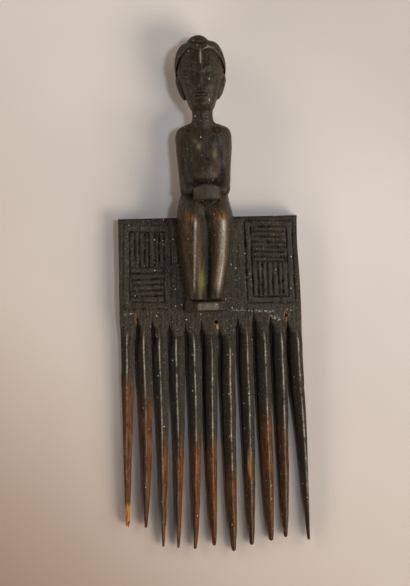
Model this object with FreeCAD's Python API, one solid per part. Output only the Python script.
import FreeCAD, Part
import math
import os

# Figural comb carved from one block of dark wood, lying on its flat back.
# X runs across the teeth, Y from the tooth tips to the head, Z out of the front.
# All lengths are in millimetres; the middle of the plate's back face is zero.

V = FreeCAD.Vector

# comb plate
plate_width = 80.8
plate_flare = 1.2
plate_height = 45.4
plate_thickness = 7.0
plate_bevel = 0.5

# reeded panels on the plate, one on each side of the figure
panel_width = 21.6
panel_height = 37.2
panel_border = 3.1
panel_side_margin = 2.2
panel_top_margin = 2.4
left_panel_tilt = -1.8
right_panel_tilt = -0.6
frame_groove_width = 1.0
frame_groove_depth = 0.7
reed_groove_width = 1.3
reed_groove_depth = 0.9
upright_reed_count = 7
level_reed_count = 6

# teeth
tooth_count = 11
tooth_length = 105.4
tooth_splay = 5.7
tooth_lift = 1.4
root_gap = 0.5
edge_tooth_share = 0.8

# carved figure, from the knees upwards
figure_offset = -1.0
figure_back = 1.5
leg_length = 33.2
leg_lean = 1.2
leg_gap = 0.8
knee_depth = 13.5
hip_width = 24.6
hip_height = 10.4
foot_width = 17.1
foot_height = 7.5
foot_depth = 7.0
foot_offset = -1.2
torso_offset = 0.4
torso_width = 19.0
torso_height = 31.8
torso_depth = 15.0
arm_stand = 2.5
arm_height = 31.0
arm_depth = 15.6
elbow_drop = 0.7
hand_width = 14.4
hand_height = 6.6
hand_front = 19.4
hand_back = 9.0
neck_offset = 0.1
neck_width = 9.2
neck_height = 5.9
neck_depth = 15.6
head_lean = -0.5
head_width = 21.6
head_height = 31.7
head_depth = 21.0
hair_thickness = 0.6
ear_thickness = 1.6
ear_depth = 5.0
nose_width = 3.4
nose_length = 8.0
nose_rise = 2.4
knot_offset = 0.5
knot_width = 11.8
knot_depth = 11.0
knot_height = 4.2
knot_sink = 2.3

overrun = 1.0

# places that follow from the sizes
plate_top = plate_height / 2
plate_bottom = -plate_height / 2
hip_top = plate_top + hip_height
torso_top = hip_top + torso_height
neck_top = torso_top + neck_height
head_top = neck_top + head_height
ankle = plate_top - leg_length
sole = ankle - foot_height

# how finely the carved forms are faceted, and how square their sections are
ring_points = 24
round_form = 2.0
body_form = 2.4
block_form = 5.0

# one row per section: place along the tooth, width, thickness, side height, flat of the ridge, lift
tooth_section_shares = (
    (0.000, 1.000, 1.00, 0.96, 0.92, 0.00),
    (0.035, 0.930, 1.00, 0.84, 0.68, 0.00),
    (0.070, 0.885, 1.00, 0.66, 0.38, 0.00),
    (0.120, 0.860, 0.97, 0.50, 0.10, 0.00),
    (0.350, 0.800, 0.88, 0.44, 0.09, 0.00),
    (0.520, 0.710, 0.80, 0.44, 0.10, 0.06),
    (0.700, 0.590, 0.70, 0.44, 0.11, 0.22),
    (0.840, 0.450, 0.58, 0.45, 0.12, 0.50),
    (0.940, 0.310, 0.42, 0.45, 0.20, 0.82),
    (1.000, 0.160, 0.24, 0.50, 0.40, 1.00),
)

# one value per tooth, from left to right: length, sideways shift of the tip, sideways bow,
# width towards the tip, and place of the ridge across the tooth
tooth_reach_shares = (0.884, 0.889, 0.973, 0.980, 0.986, 0.974, 1.000, 0.976, 0.960, 0.947, 0.961)
tooth_lean_shares = (0.055, 0.105, 0.045, -0.125, -0.170, -0.180, -0.120, -0.095, -0.070, -0.260, 0.055)
tooth_bow_shares = (0.05, 0.15, 0.10, 0.07, 0.06, -0.09, -0.06, -0.02, -0.02, 0.02, -0.12)
tooth_slim_shares = (0.92, 0.74, 0.74, 0.72, 0.84, 1.00, 1.14, 0.95, 1.12, 0.92, 0.96)
tooth_ridge_shares = (0.10, 0.00, -0.30, -0.30, 0.25, 0.30, 0.35, 0.45, 0.40, 0.45, 0.20)

# how much of the height above the plate is straight side
leg_side_share = 0.35
foot_side_share = 0.4

# one row per section, from the bottom up: place along the piece, half width, back, front
head_shares = (
    (0.000, 0.44, 0.195, 0.680),
    (0.030, 0.50, 0.186, 0.850),
    (0.082, 0.56, 0.167, 0.930),
    (0.183, 0.67, 0.130, 0.976),
    (0.287, 0.78, 0.080, 0.995),
    (0.390, 0.89, 0.040, 1.000),
    (0.492, 0.98, 0.010, 0.990),
    (0.596, 1.00, 0.000, 0.970),
    (0.700, 0.975, 0.020, 0.940),
    (0.800, 0.905, 0.070, 0.876),
    (0.905, 0.730, 0.176, 0.757),
    (0.968, 0.470, 0.290, 0.624),
    (1.000, 0.220, 0.367, 0.530),
)
neck_shares = (
    (0.0, 1.06, 0.24, 0.84),
    (0.5, 0.98, 0.27, 0.82),
    (1.0, 1.02, 0.26, 0.86),
)
torso_shares = (
    (0.000, 0.70, 0.067, 0.767),
    (0.090, 0.73, 0.050, 0.807),
    (0.165, 0.74, 0.047, 0.840),
    (0.200, 0.755, 0.047, 0.960),
    (0.248, 0.76, 0.053, 1.000),
    (0.343, 0.77, 0.073, 0.993),
    (0.469, 0.84, 0.073, 0.913),
    (0.594, 0.93, 0.033, 0.887),
    (0.720, 1.00, 0.000, 0.920),
    (0.827, 0.985, 0.007, 0.893),
    (0.877, 0.93, 0.040, 0.860),
    (0.912, 0.86, 0.075, 0.830),
    (0.940, 0.76, 0.120, 0.800),
    (0.965, 0.60, 0.180, 0.770),
    (1.000, 0.50, 0.240, 0.740),
)
knot_shares = (
    (0.00, 1.00, 0.00, 1.00),
    (0.35, 1.00, 0.00, 1.00),
    (0.62, 0.86, 0.08, 0.92),
    (0.86, 0.55, 0.22, 0.78),
    (1.00, 0.20, 0.40, 0.60),
)
hip_shares = (
    (0.00, 1.00, 0.00, 1.00),
    (0.30, 0.97, 0.00, 1.00),
    (0.60, 0.92, 0.04, 1.00),
    (1.00, 0.85, 0.18, 1.00),
)
hand_shares = (
    (0.00, 0.94, 0.00, 0.93),
    (0.12, 1.00, 0.00, 1.00),
    (0.72, 1.00, 0.00, 1.00),
    (0.90, 0.96, 0.00, 0.88),
    (1.00, 0.88, 0.00, 0.70),
)
foot_shares = (
    (0.00, 0.93, 0.00, 0.55),
    (0.12, 0.98, 0.00, 0.86),
    (0.24, 1.00, 0.00, 1.00),
    (0.66, 1.00, 0.00, 1.00),
    (0.78, 0.97, 0.00, 0.84),
    (0.86, 0.94, 0.00, 0.78),
    (1.00, 0.92, 0.00, 0.90),
)

# from the elbow up: place along the arm, inner edge, outer edge, back, front
arm_shares = (
    (0.000, 0.375, 0.800, 0.180, 0.880),
    (0.032, 0.335, 0.865, 0.130, 0.965),
    (0.113, 0.335, 0.915, 0.100, 1.000),
    (0.200, 0.385, 0.945, 0.095, 0.930),
    (0.316, 0.460, 0.967, 0.095, 0.820),
    (0.516, 0.500, 0.995, 0.095, 0.750),
    (0.664, 0.525, 1.010, 0.095, 0.735),
    (0.761, 0.520, 1.000, 0.100, 0.725),
    (0.848, 0.500, 0.960, 0.120, 0.700),
    (0.900, 0.480, 0.900, 0.160, 0.665),
    (0.945, 0.440, 0.800, 0.220, 0.610),
    (0.980, 0.400, 0.660, 0.290, 0.550),
    (1.000, 0.400, 0.560, 0.340, 0.500),
)

# from the ankle up to the lap: place along the leg, outer edge, front, gap to the other leg, lean
leg_shares = (
    (0.000, 0.634, 0.533, 1.00, 1.00),
    (0.057, 0.654, 0.607, 1.00, 0.85),
    (0.172, 0.730, 0.700, 1.00, 0.48),
    (0.310, 0.820, 0.785, 1.00, 0.19),
    (0.493, 0.930, 0.904, 1.00, 0.04),
    (0.654, 0.967, 0.978, 1.00, 0.00),
    (0.762, 0.996, 1.000, 1.00, 0.00),
    (0.837, 0.965, 0.970, 0.50, 0.00),
    (0.901, 0.925, 0.911, 0.00, 0.00),
    (0.957, 0.890, 0.815, 0.00, 0.00),
    (1.000, 0.850, 0.555, 0.00, 0.00),
)

# from the lobe up: place along the head, half width of the face there, how far the ear stands out
ear_shares = (
    (0.105, 0.575, 0.10),
    (0.132, 0.610, 0.60),
    (0.183, 0.670, 1.00),
    (0.287, 0.780, 0.85),
    (0.390, 0.890, 0.42),
    (0.500, 0.980, -0.10),
)

# the hairline on one side of the face, from the temple to the middle: across, up the head
hairline_shares = (
    (1.20, 0.50),
    (0.985, 0.54),
    (0.94, 0.64),
    (0.83, 0.735),
    (0.66, 0.815),
    (0.50, 0.858),
    (0.34, 0.874),
    (0.17, 0.858),
    (0.00, 0.820),
)
nape_share = 0.25

# from the nostrils up to the brow: place along the nose, half width, rise above the face
nose_shares = (
    (0.00, 0.80, 0.50),
    (0.08, 1.00, 0.95),
    (0.22, 0.92, 1.00),
    (1.00, 0.50, 0.20),
)


def smoothed(rows, extra):
    # a curve through the rows, with some more rows between each two
    count = len(rows)
    slopes = []
    for i in range(count):
        before = rows[max(i - 1, 0)]
        after = rows[min(i + 1, count - 1)]
        run = after[0] - before[0]
        slopes.append([(b - a) / run for a, b in zip(before, after)])
    result = []
    for i in range(count - 1):
        run = rows[i + 1][0] - rows[i][0]
        for step in range(extra + 1):
            t = step / (extra + 1)
            row = []
            for a, b, slope_a, slope_b in zip(rows[i], rows[i + 1], slopes[i], slopes[i + 1]):
                start = (1 + 2 * t) * (1 - t) ** 2 * a + t * (1 - t) ** 2 * run * slope_a
                end = (3 - 2 * t) * t ** 2 * b - (1 - t) * t ** 2 * run * slope_b
                row.append(start + end)
            result.append(row)
    result.append(list(rows[-1]))
    return result


def oval_ring(y, x_low, x_high, z_low, z_high, squareness=round_form):
    # a closed outline across the block: an oval, or a rounded oblong for a higher squareness
    x_mid = (x_low + x_high) / 2
    z_mid = (z_low + z_high) / 2
    ring = []
    for i in range(ring_points):
        angle = 2 * math.pi * i / ring_points
        c = math.copysign(abs(math.cos(angle)) ** (2 / squareness), math.cos(angle))
        s = math.copysign(abs(math.sin(angle)) ** (2 / squareness), math.sin(angle))
        ring.append(V(x_mid + c * (x_high - x_low) / 2, y, z_mid + s * (z_high - z_low) / 2))
    return ring


def relief_ring(y, x_low, x_high, seat, front, side_share, squareness):
    # an outline that stands on a flat ground: straight sides and a rounded front
    side = seat + (front - seat) * side_share
    x_mid = (x_low + x_high) / 2
    ring = []
    for i in range(ring_points // 2 + 1):
        angle = 2 * math.pi * i / ring_points
        c = math.copysign(abs(math.cos(angle)) ** (2 / squareness), math.cos(angle))
        s = abs(math.sin(angle)) ** (2 / squareness)
        ring.append(V(x_mid + c * (x_high - x_low) / 2, y, side + s * (front - side)))
    ring.append(V(x_low, y, seat))
    ring.append(V(x_high, y, seat))
    return ring


def faceted(rings):
    # a solid through the outlines, with flat facets as a carver's knife leaves them
    faces = []
    for ring in (rings[0], rings[-1]):
        faces.append(Part.Face(Part.makePolygon(ring + [ring[0]])))
    for low, high in zip(rings, rings[1:]):
        for i in range(len(low)):
            j = (i + 1) % len(low)
            faces.append(Part.Face(Part.makePolygon([low[i], low[j], high[j], low[i]])))
            faces.append(Part.Face(Part.makePolygon([low[i], high[j], high[i], low[i]])))
    shell = Part.makeShell(faces)
    shell.sewShape()
    solid = Part.makeSolid(shell)
    if solid.Volume < 0:
        solid.reverse()
    return solid.removeSplitter()


def carved(base, height, middle, width, back, depth, shares, squareness=round_form, lean=0):
    # an upright carved form, alike on its left and right, whose sections follow a table of shares
    rings = []
    for along, wide, rear, front in smoothed(shares, 1):
        half = width / 2 * wide
        x = middle + lean * along
        y = base + height * along
        rings.append(
            oval_ring(y, x - half, x + half, back + depth * rear, back + depth * front, squareness)
        )
    return faceted(rings)


def groove(start, end, width, depth):
    # a straight V cut with its open side on the plate's front
    along = end - start
    across = V(-along.y, along.x, 0).normalize()
    top = V(0, 0, overrun)
    flare = width / 2 * (1 + overrun / depth)
    corners = [
        start - V(0, 0, depth),
        start + across * flare + top,
        start - across * flare + top,
    ]
    return Part.Face(Part.makePolygon(corners + [corners[0]])).extrude(along)


def panel_grooves(side, tilt):
    # frame lines and reeds of one panel; the uprights are above on the left and below on the right
    x_mid = side * (plate_width / 2 - panel_side_margin - panel_width / 2)
    y_mid = plate_top - panel_top_margin - panel_height / 2
    turn = FreeCAD.Rotation(V(0, 0, 1), tilt)
    middle = V(x_mid, y_mid, plate_thickness)

    def place(x, y):
        return middle + turn.multVec(V(x, y, 0))

    def frame(half_width, half_height):
        corners = [
            place(-half_width, -half_height),
            place(half_width, -half_height),
            place(half_width, half_height),
            place(-half_width, half_height),
        ]
        for i in range(len(corners)):
            cuts.append(groove(corners[i - 1], corners[i], frame_groove_width, frame_groove_depth))

    cuts = []
    half_width = panel_width / 2 - panel_border
    half_height = panel_height / 2 - panel_border
    frame(panel_width / 2, panel_height / 2)
    frame(half_width, half_height)
    cuts.append(groove(place(-half_width, 0), place(half_width, 0), reed_groove_width, reed_groove_depth))
    for i in range(1, upright_reed_count):
        x = half_width * (2 * i / upright_reed_count - 1)
        end = -side * half_height
        cuts.append(groove(place(x, 0), place(x, end), reed_groove_width, reed_groove_depth))
    for i in range(1, level_reed_count):
        y = side * half_height * i / level_reed_count
        cuts.append(groove(place(-half_width, y), place(half_width, y), reed_groove_width, reed_groove_depth))
    return cuts


def make_plate():
    top = plate_width / 2
    bottom = (plate_width + plate_flare) / 2
    corners = [
        V(-bottom, plate_bottom, 0),
        V(bottom, plate_bottom, 0),
        V(top, plate_top, 0),
        V(-top, plate_top, 0),
    ]
    plate = Part.Face(Part.makePolygon(corners + [corners[0]])).extrude(V(0, 0, plate_thickness))
    front_edges = []
    for edge in plate.Edges:
        middle = edge.CenterOfMass
        if middle.z > plate_thickness - plate_bevel and middle.y > plate_bottom + plate_bevel:
            front_edges.append(edge)
    plate = plate.makeChamfer(plate_bevel, front_edges)
    return plate.cut(panel_grooves(-1, left_panel_tilt) + panel_grooves(1, right_panel_tilt))


def make_tooth(index):
    row_width = plate_width + plate_flare
    pitch = (row_width + edge_tooth_share * root_gap) / (tooth_count - 1 + edge_tooth_share)
    width = pitch - root_gap
    if index in (0, tooth_count - 1):
        width = width * edge_tooth_share
    place = index - (tooth_count - 1) / 2
    root_x = pitch * place
    tip_pitch = pitch + tooth_splay / (tooth_count - 1)
    hand = index % len(tooth_reach_shares)
    length = tooth_length * tooth_reach_shares[hand]
    shift = tip_pitch * (place + tooth_lean_shares[hand]) - root_x
    bow = tip_pitch * tooth_bow_shares[hand]
    rings = []
    for along, wide, thick, side, ridge, lift in tooth_section_shares:
        x = root_x + shift * along + bow * 4 * along * (1 - along)
        y = plate_bottom - length * along
        low = tooth_lift * lift
        high = low + plate_thickness * thick
        edge = low + (high - low) * side
        half = width * wide / 2 * (1 + (tooth_slim_shares[hand] - 1) * along)
        flat = half * ridge
        crest = (half - flat) * tooth_ridge_shares[hand]
        rings.append([
            V(x - half, y, low),
            V(x + half, y, low),
            V(x + half, y, edge),
            V(x + crest + flat, y, high),
            V(x + crest - flat, y, high),
            V(x - half, y, edge),
        ])
    return faceted(rings)


def make_leg(side):
    rings = []
    for along, outer, front, gap, lean in smoothed(leg_shares, 1):
        middle = figure_offset - leg_lean * lean
        inner_x = middle + side * leg_gap / 2 * max(gap, 0)
        outer_x = middle + side * hip_width / 2 * outer
        y = ankle + (hip_top - ankle) * along
        z = plate_thickness + knee_depth * front
        rings.append(
            relief_ring(
                y, min(inner_x, outer_x), max(inner_x, outer_x), plate_thickness, z,
                leg_side_share, body_form
            )
        )
    return faceted(rings)


def make_feet():
    middle = figure_offset + foot_offset
    rings = []
    for along, wide, rear, front in foot_shares:
        half = foot_width / 2 * wide
        y = sole + foot_height * along
        z = plate_thickness + foot_depth * front
        rings.append(
            relief_ring(
                y, middle - half, middle + half, plate_thickness, z,
                foot_side_share, block_form
            )
        )
    return faceted(rings)


def make_hips():
    # stands on the plate's top edge; its front is flush with the plate, behind the thighs
    return carved(
        plate_top, hip_height, figure_offset, hip_width, figure_back,
        plate_thickness - figure_back, hip_shares, block_form
    )


def make_torso():
    return carved(
        hip_top, torso_height, figure_offset + torso_offset, torso_width, figure_back, torso_depth,
        torso_shares, body_form
    )


def make_arm(side):
    base = hip_top - elbow_drop
    reach = torso_width / 2 + arm_stand
    rings = []
    for along, inner, outer, rear, front in smoothed(arm_shares, 1):
        inner_x = figure_offset + torso_offset + side * reach * inner
        outer_x = figure_offset + torso_offset + side * reach * outer
        y = base + arm_height * along
        rings.append(
            oval_ring(
                y, min(inner_x, outer_x), max(inner_x, outer_x),
                figure_back + arm_depth * rear, figure_back + arm_depth * front, body_form
            )
        )
    return faceted(rings)


def make_hands():
    base = hip_top - hand_height / 4
    return carved(
        base, hand_height, figure_offset + torso_offset, hand_width, hand_back, hand_front - hand_back,
        hand_shares, block_form
    )


def make_neck():
    return carved(
        torso_top, neck_height, figure_offset + neck_offset, neck_width, figure_back, neck_depth,
        neck_shares
    )


def make_head():
    middle = figure_offset
    skull = carved(
        neck_top, head_height, middle, head_width, figure_back + hair_thickness,
        head_depth - 2 * hair_thickness, head_shares, body_form, head_lean
    )
    hair = carved(
        neck_top, head_height + hair_thickness, middle, head_width + 2 * hair_thickness, figure_back,
        head_depth, head_shares, body_form, head_lean
    ).cut([face_window(), nape_window()])
    return skull.fuse([hair, make_ear(-1), make_ear(1), make_nose()]).removeSplitter()


def face_window():
    # all that lies below the hairline, on the front half of the head
    middle = figure_offset + head_lean * hairline_shares[-1][1]
    depth = figure_back + head_depth / 2
    half = head_width / 2
    outline = []
    for across, up in hairline_shares:
        outline.append(V(middle - half * across, neck_top + head_height * up, depth))
    for across, up in reversed(hairline_shares[:-1]):
        outline.append(V(middle + half * across, neck_top + head_height * up, depth))
    outline.append(V(outline[-1].x, neck_top - overrun, depth))
    outline.append(V(outline[0].x, neck_top - overrun, depth))
    return Part.Face(Part.makePolygon(outline + [outline[0]])).extrude(V(0, 0, head_depth))


def nape_window():
    # all that lies below the hair at the back of the head
    corner = V(figure_offset - head_width, neck_top - overrun, figure_back - overrun)
    return Part.makeBox(
        2 * head_width, head_height * nape_share + overrun, head_depth / 2 + 2 * overrun, corner
    )


def make_ear(side):
    middle = figure_back + head_depth / 2
    rings = []
    for along, face, stand in ear_shares:
        axis = figure_offset + head_lean * along
        outer_x = axis + side * (head_width / 2 * face + ear_thickness * stand)
        inner_x = outer_x - side * 3 * ear_thickness
        y = neck_top + head_height * along
        rings.append(
            oval_ring(
                y, min(inner_x, outer_x), max(inner_x, outer_x),
                middle - ear_depth / 2, middle + ear_depth / 2, body_form
            )
        )
    return faceted(rings)


def make_nose():
    face = figure_back + head_depth - hair_thickness
    base = neck_top + head_height / 2 - nose_length
    rings = []
    for along, wide, rise in nose_shares:
        half = nose_width / 2 * wide
        y = base + nose_length * along
        x = figure_offset + head_lean / 2
        rings.append(oval_ring(y, x - half, x + half, face - nose_rise, face + nose_rise * rise))
    return faceted(rings)


def make_knot():
    back = figure_back + (head_depth - knot_depth) / 2
    middle = figure_offset + head_lean + knot_offset
    return carved(head_top - knot_sink, knot_height, middle, knot_width, back, knot_depth, knot_shares)


def make_parts():
    parts = {"comb_plate": make_plate()}
    for index in range(tooth_count):
        parts["tooth_%02d" % (index + 1)] = make_tooth(index)
    parts["feet"] = make_feet()
    parts["left_leg"] = make_leg(-1)
    parts["right_leg"] = make_leg(1)
    parts["hips"] = make_hips()
    torso = make_torso()
    parts["torso"] = torso
    legs = [parts["left_leg"], parts["right_leg"]]
    below = [torso, parts["hips"]] + legs
    parts["left_arm"] = make_arm(-1).cut(below)
    parts["right_arm"] = make_arm(1).cut(below)
    parts["hands"] = make_hands().cut(below + [parts["left_arm"], parts["right_arm"]])
    parts["neck"] = make_neck()
    parts["head"] = make_head()
    parts["hair_knot"] = make_knot().cut(parts["head"])
    return parts


os.makedirs("parts", exist_ok=True)
for name, shape in make_parts().items():
    shape.exportStep("parts/" + name + ".step")
    print(name, len(shape.Solids), round(shape.Volume), shape.isValid())
